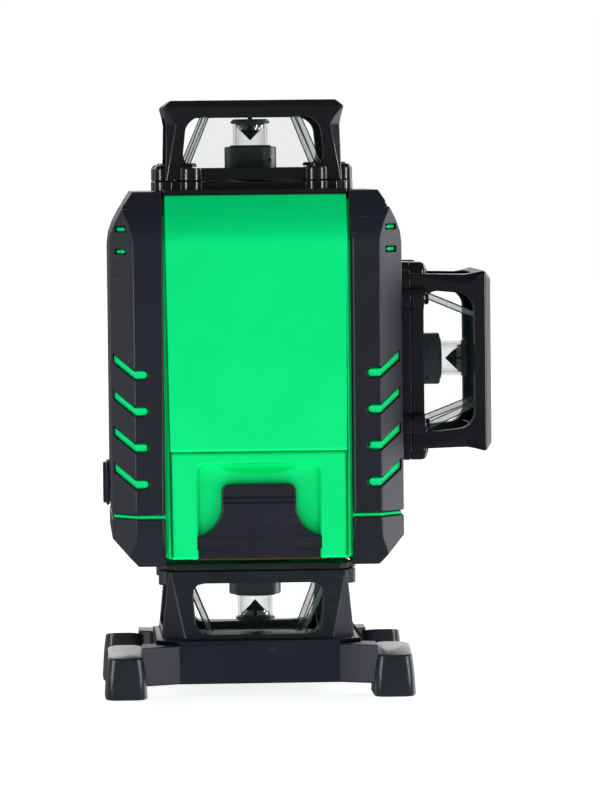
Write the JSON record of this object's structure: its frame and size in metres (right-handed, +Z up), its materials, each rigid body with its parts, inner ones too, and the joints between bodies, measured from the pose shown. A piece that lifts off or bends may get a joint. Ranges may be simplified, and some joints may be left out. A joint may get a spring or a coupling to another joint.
{
  "type": "multi-plane laser level",
  "caption": "Self-levelling multi-plane laser level with cone-reflector heads in glazed guard cages, armoured housing, slide-out battery pack and four-footed stand.",
  "frame": {"origin": "centre of the closed end of the tripod socket, on the vertical laser axis, 15 mm above the floor that the feet stand on", "axes": "+Z up along the vertical laser axis, -Y out of the battery face, +Y out of the front laser, +X out of the side laser"},
  "size_m": [0.1329, 0.1268, 0.2023],
  "materials": {
    "green_plastic": "satin moulded spring-green ABS",
    "armour_plastic": "fine matt texture, charcoal",
    "cage_plastic": "semi-gloss black nylon",
    "stand_plastic": "spark-eroded texture, charcoal",
    "foot_rubber": "moulded rubber, slight sheen",
    "key_rubber": "silicone keypad",
    "window_glass": "clear float glass with faintly green edges",
    "tube_glass": "clear tube",
    "black_anodised": "black anodised, fine turning marks",
    "cone_mirror": "polished and silvered",
    "die_cast_alloy": "as cast, bead blasted",
    "copper": "turned copper",
    "brass": "turned brass",
    "blackened_brass": "chemically blackened",
    "bright_steel": "ground",
    "carrier_plastic": "glass-filled nylon",
    "circuit_board": "solder mask",
    "cell_wrap": "shrink wrap"
  },
  "bodies": {
    "body": {"rear_housing": "green_plastic", "front_housing": "green_plastic", "left_guard": "armour_plastic", "right_guard": "armour_plastic", "left_bumper": "armour_plastic", "right_bumper": "armour_plastic", "bottom_deck": "armour_plastic", "top_deck": "cage_plastic", "side_deck": "cage_plastic", "front_deck": "cage_plastic", "top_cage": "cage_plastic", "side_cage": "cage_plastic", "front_cage": "cage_plastic", "base_stand": "stand_plastic", "foot_front_right": "foot_rubber", "foot_front_left": "foot_rubber", "foot_rear_right": "foot_rubber", "foot_rear_left": "foot_rubber", "top_glass": "window_glass", "side_glass": "window_glass", "front_glass": "window_glass", "bottom_glass": "window_glass", "gimbal_bracket": "die_cast_alloy", "tripod_bushing": "blackened_brass", "gimbal_bearing_front": "bright_steel", "gimbal_bearing_rear": "bright_steel", "damping_magnet_left": "bright_steel", "damping_magnet_right": "bright_steel", "magnet_carrier": "carrier_plastic", "battery_terminal_board": "circuit_board", "keypad_board": "circuit_board", "main_board": "circuit_board"},
    "gimbal": {"gimbal_ring": "die_cast_alloy", "gimbal_bearing_left": "bright_steel", "gimbal_bearing_right": "bright_steel"},
    "pendulum": {"pendulum_block": "die_cast_alloy", "damping_disc": "copper", "counterweight": "brass", "top_laser_barrel": "black_anodised", "top_laser_tube": "tube_glass", "top_cone_reflector": "cone_mirror", "side_laser_barrel": "black_anodised", "side_laser_tube": "tube_glass", "side_cone_reflector": "cone_mirror", "front_laser_barrel": "black_anodised", "front_laser_tube": "tube_glass", "front_cone_reflector": "cone_mirror", "bottom_laser_barrel": "black_anodised", "bottom_laser_tube": "tube_glass", "bottom_cone_reflector": "cone_mirror"},
    "lock": {"lock_knob": "armour_plastic", "lock_shaft": "bright_steel"},
    "brake": {"brake_slider": "die_cast_alloy"},
    "battery": {"battery_case": "green_plastic", "battery_lid": "armour_plastic", "battery_cells": "cell_wrap"},
    "latch": {"battery_latch": "armour_plastic"},
    "horizontal_key": {"key_horizontal": "key_rubber"},
    "vertical_key": {"key_vertical": "key_rubber"},
    "pulse_key": {"key_pulse": "key_rubber"}
  },
  "joints": [
    {"name": "gimbal_roll", "type": "hinge", "parent": "body", "child": "gimbal", "pos_m": [0, 0, 0.123], "axis": [0, 1, 0], "range_deg": [-3, 3]},
    {"name": "gimbal_pitch", "type": "hinge", "parent": "gimbal", "child": "pendulum", "pos_m": [0, 0, 0.123], "axis": [1, 0, 0], "range_deg": [-3, 3]},
    {"name": "lock_turn", "type": "hinge", "parent": "body", "child": "lock", "pos_m": [-0.0518, 0, 0.0564], "axis": [1, 0, 0], "range_deg": [0, 90]},
    {"name": "brake_lift", "type": "slide", "parent": "body", "child": "brake", "axis": [0, 0, 1], "range_m": [0, 0.00353]},
    {"name": "battery_slide", "type": "slide", "parent": "body", "child": "battery", "axis": [0, -1, 0], "range_m": [0, 0.045]},
    {"name": "latch_tilt", "type": "hinge", "parent": "battery", "child": "latch", "pos_m": [0, -0.045, 0.0356], "axis": [1, 0, 0], "range_deg": [0, 22], "stiffness_Nm_per_rad": 0.02},
    {"name": "horizontal_press", "type": "slide", "parent": "body", "child": "horizontal_key", "axis": [0, -0.8553, -0.5182], "range_m": [0, 0.0006], "stiffness_N_per_m": 400},
    {"name": "vertical_press", "type": "slide", "parent": "body", "child": "vertical_key", "axis": [0, -0.8553, -0.5182], "range_m": [0, 0.0006], "stiffness_N_per_m": 400},
    {"name": "pulse_press", "type": "slide", "parent": "body", "child": "pulse_key", "axis": [0, -0.8553, -0.5182], "range_m": [0, 0.0006], "stiffness_N_per_m": 400}
  ],
  "couplings": [
    {"joint": "lock_turn", "follows": "brake_lift", "rad_per_m": 444.9}
  ]
}
